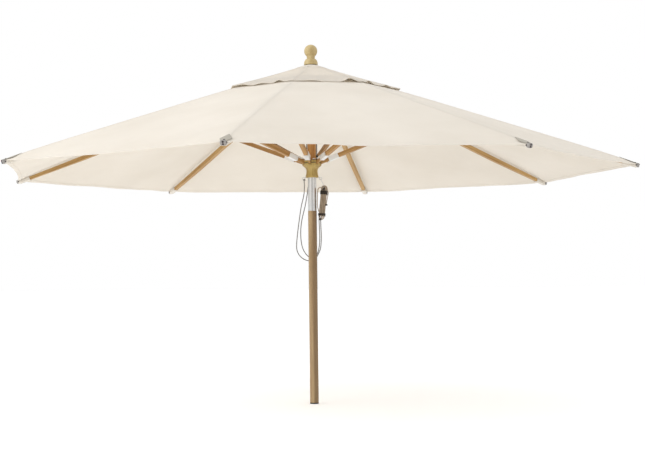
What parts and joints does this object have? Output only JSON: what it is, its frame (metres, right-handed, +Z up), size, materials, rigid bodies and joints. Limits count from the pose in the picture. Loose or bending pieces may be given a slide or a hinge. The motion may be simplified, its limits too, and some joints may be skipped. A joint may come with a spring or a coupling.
{
  "type": "patio umbrella",
  "caption": "Wooden garden parasol with a rope hoist: hinged ribs and struts, sliding runner, ecru canvas canopy with a raised vent cap, ball finial, pole without a base.",
  "frame": {"origin": "centre of the flat face at the pole's foot", "axes": "+Z up along the pole; +X along the first rib, with the parasol open"},
  "size_m": [3.5, 3.5, 1.9835],
  "materials": {
    "pole_wood": "oiled, fine straight grain",
    "wood": "satin varnished",
    "aluminium": "drawn, satin anodised",
    "steel": "zinc plated",
    "canvas": "plain woven canvas, ecru",
    "rope": "braided cord, grey",
    "end_cap": "matt black"
  },
  "bodies": {
    "pole": {"pole_lower": "pole_wood", "pole_upper": "pole_wood", "pole_ferrule": "aluminium", "pole_end_cap": "end_cap", "top_hub": "wood", "hub_pivot_ring": "steel", "crown_patch": "canvas", "pulley_axle": "steel", "lift_rope": "rope"},
    "finial": {"finial": "wood"},
    "sheave": {"pulley_sheave": "steel"},
    "rib_1": {"rib_1": "wood", "canopy_gore_1": "canvas", "vent_cap_1": "canvas"},
    "strut_1": {"strut_1": "wood", "strut_sleeve_1": "steel"},
    "rib_2": {"rib_2": "wood", "canopy_gore_2": "canvas", "vent_cap_2": "canvas"},
    "strut_2": {"strut_2": "wood", "strut_sleeve_2": "steel"},
    "rib_3": {"rib_3": "wood", "canopy_gore_3": "canvas", "vent_cap_3": "canvas"},
    "strut_3": {"strut_3": "wood", "strut_sleeve_3": "steel"},
    "rib_4": {"rib_4": "wood", "canopy_gore_4": "canvas", "vent_cap_4": "canvas"},
    "strut_4": {"strut_4": "wood", "strut_sleeve_4": "steel"},
    "rib_5": {"rib_5": "wood", "canopy_gore_5": "canvas", "vent_cap_5": "canvas"},
    "strut_5": {"strut_5": "wood", "strut_sleeve_5": "steel"},
    "rib_6": {"rib_6": "wood", "canopy_gore_6": "canvas", "vent_cap_6": "canvas"},
    "strut_6": {"strut_6": "wood", "strut_sleeve_6": "steel"},
    "rib_7": {"rib_7": "wood", "canopy_gore_7": "canvas", "vent_cap_7": "canvas"},
    "strut_7": {"strut_7": "wood", "strut_sleeve_7": "steel"},
    "rib_8": {"rib_8": "wood", "canopy_gore_8": "canvas", "vent_cap_8": "canvas"},
    "strut_8": {"strut_8": "wood", "strut_sleeve_8": "steel"},
    "runner": {"runner": "wood", "runner_pivot_ring": "steel", "rope_eye_right": "steel", "rope_eye_left": "steel", "runner_hook": "steel", "hank_ring": "steel", "rope_hank": "rope", "rope_loop_outer": "rope", "rope_loop_inner": "rope"}
  },
  "joints": [
    {"name": "finial_turn", "type": "hinge", "parent": "pole", "child": "finial", "pos_m": [0, 0, 1.87], "axis": [0, 0, 1], "continuous": true},
    {"name": "sheave_turn", "type": "hinge", "parent": "pole", "child": "sheave", "pos_m": [0, 0, 1.778], "axis": [-0.2079, 0.9781, 0], "continuous": true},
    {"name": "rib_1_fold", "type": "hinge", "parent": "pole", "child": "rib_1", "pos_m": [0.048, 0, 1.83303], "axis": [0, 1, 0], "range_deg": [0, 67.5], "deforming": ["canopy_gore_1", "vent_cap_1"]},
    {"name": "strut_1_fold", "type": "hinge", "parent": "rib_1", "child": "strut_1", "pos_m": [0.71901, 0, 1.57925], "axis": [0, 1, 0], "range_deg": [-135, 0]},
    {"name": "rib_2_fold", "type": "hinge", "parent": "pole", "child": "rib_2", "pos_m": [0.03394, 0.03394, 1.83303], "axis": [-0.7071, 0.7071, 0], "range_deg": [0, 67.5], "deforming": ["canopy_gore_2", "vent_cap_2"]},
    {"name": "strut_2_fold", "type": "hinge", "parent": "rib_2", "child": "strut_2", "pos_m": [0.50842, 0.50842, 1.57925], "axis": [-0.7071, 0.7071, 0], "range_deg": [-135, 0]},
    {"name": "rib_3_fold", "type": "hinge", "parent": "pole", "child": "rib_3", "pos_m": [0, 0.048, 1.83303], "axis": [-1, 0, 0], "range_deg": [0, 67.5], "deforming": ["canopy_gore_3", "vent_cap_3"]},
    {"name": "strut_3_fold", "type": "hinge", "parent": "rib_3", "child": "strut_3", "pos_m": [0, 0.71901, 1.57925], "axis": [-1, 0, 0], "range_deg": [-135, 0]},
    {"name": "rib_4_fold", "type": "hinge", "parent": "pole", "child": "rib_4", "pos_m": [-0.03394, 0.03394, 1.83303], "axis": [-0.7071, -0.7071, 0], "range_deg": [0, 67.5], "deforming": ["canopy_gore_4", "vent_cap_4"]},
    {"name": "strut_4_fold", "type": "hinge", "parent": "rib_4", "child": "strut_4", "pos_m": [-0.50842, 0.50842, 1.57925], "axis": [-0.7071, -0.7071, 0], "range_deg": [-135, 0]},
    {"name": "rib_5_fold", "type": "hinge", "parent": "pole", "child": "rib_5", "pos_m": [-0.048, 0, 1.83303], "axis": [0, -1, 0], "range_deg": [0, 67.5], "deforming": ["canopy_gore_5", "vent_cap_5"]},
    {"name": "strut_5_fold", "type": "hinge", "parent": "rib_5", "child": "strut_5", "pos_m": [-0.71901, 0, 1.57925], "axis": [0, -1, 0], "range_deg": [-135, 0]},
    {"name": "rib_6_fold", "type": "hinge", "parent": "pole", "child": "rib_6", "pos_m": [-0.03394, -0.03394, 1.83303], "axis": [0.7071, -0.7071, 0], "range_deg": [0, 67.5], "deforming": ["canopy_gore_6", "vent_cap_6"]},
    {"name": "strut_6_fold", "type": "hinge", "parent": "rib_6", "child": "strut_6", "pos_m": [-0.50842, -0.50842, 1.57925], "axis": [0.7071, -0.7071, 0], "range_deg": [-135, 0]},
    {"name": "rib_7_fold", "type": "hinge", "parent": "pole", "child": "rib_7", "pos_m": [0, -0.048, 1.83303], "axis": [1, 0, 0], "range_deg": [0, 67.5], "deforming": ["canopy_gore_7", "vent_cap_7"]},
    {"name": "strut_7_fold", "type": "hinge", "parent": "rib_7", "child": "strut_7", "pos_m": [0, -0.71901, 1.57925], "axis": [1, 0, 0], "range_deg": [-135, 0]},
    {"name": "rib_8_fold", "type": "hinge", "parent": "pole", "child": "rib_8", "pos_m": [0.03394, -0.03394, 1.83303], "axis": [0.7071, 0.7071, 0], "range_deg": [0, 67.5], "deforming": ["canopy_gore_8", "vent_cap_8"]},
    {"name": "strut_8_fold", "type": "hinge", "parent": "rib_8", "child": "strut_8", "pos_m": [0.50842, -0.50842, 1.57925], "axis": [0.7071, 0.7071, 0], "range_deg": [-135, 0]},
    {"name": "runner_travel", "type": "hinge", "parent": "strut_1", "child": "runner", "pos_m": [0.048, 0, 1.32547], "axis": [0, 1, 0], "range_deg": [0, 67.5], "deforming": ["rope_loop_outer", "rope_loop_inner"]}
  ],
  "couplings": [
    {"joint": "strut_1_fold", "follows": "rib_1_fold", "ratio": -2},
    {"joint": "rib_2_fold", "follows": "rib_1_fold", "ratio": 1},
    {"joint": "strut_2_fold", "follows": "rib_1_fold", "ratio": -2},
    {"joint": "rib_3_fold", "follows": "rib_1_fold", "ratio": 1},
    {"joint": "strut_3_fold", "follows": "rib_1_fold", "ratio": -2},
    {"joint": "rib_4_fold", "follows": "rib_1_fold", "ratio": 1},
    {"joint": "strut_4_fold", "follows": "rib_1_fold", "ratio": -2},
    {"joint": "rib_5_fold", "follows": "rib_1_fold", "ratio": 1},
    {"joint": "strut_5_fold", "follows": "rib_1_fold", "ratio": -2},
    {"joint": "rib_6_fold", "follows": "rib_1_fold", "ratio": 1},
    {"joint": "strut_6_fold", "follows": "rib_1_fold", "ratio": -2},
    {"joint": "rib_7_fold", "follows": "rib_1_fold", "ratio": 1},
    {"joint": "strut_7_fold", "follows": "rib_1_fold", "ratio": -2},
    {"joint": "rib_8_fold", "follows": "rib_1_fold", "ratio": 1},
    {"joint": "strut_8_fold", "follows": "rib_1_fold", "ratio": -2},
    {"joint": "runner_travel", "follows": "rib_1_fold", "ratio": 1}
  ]
}
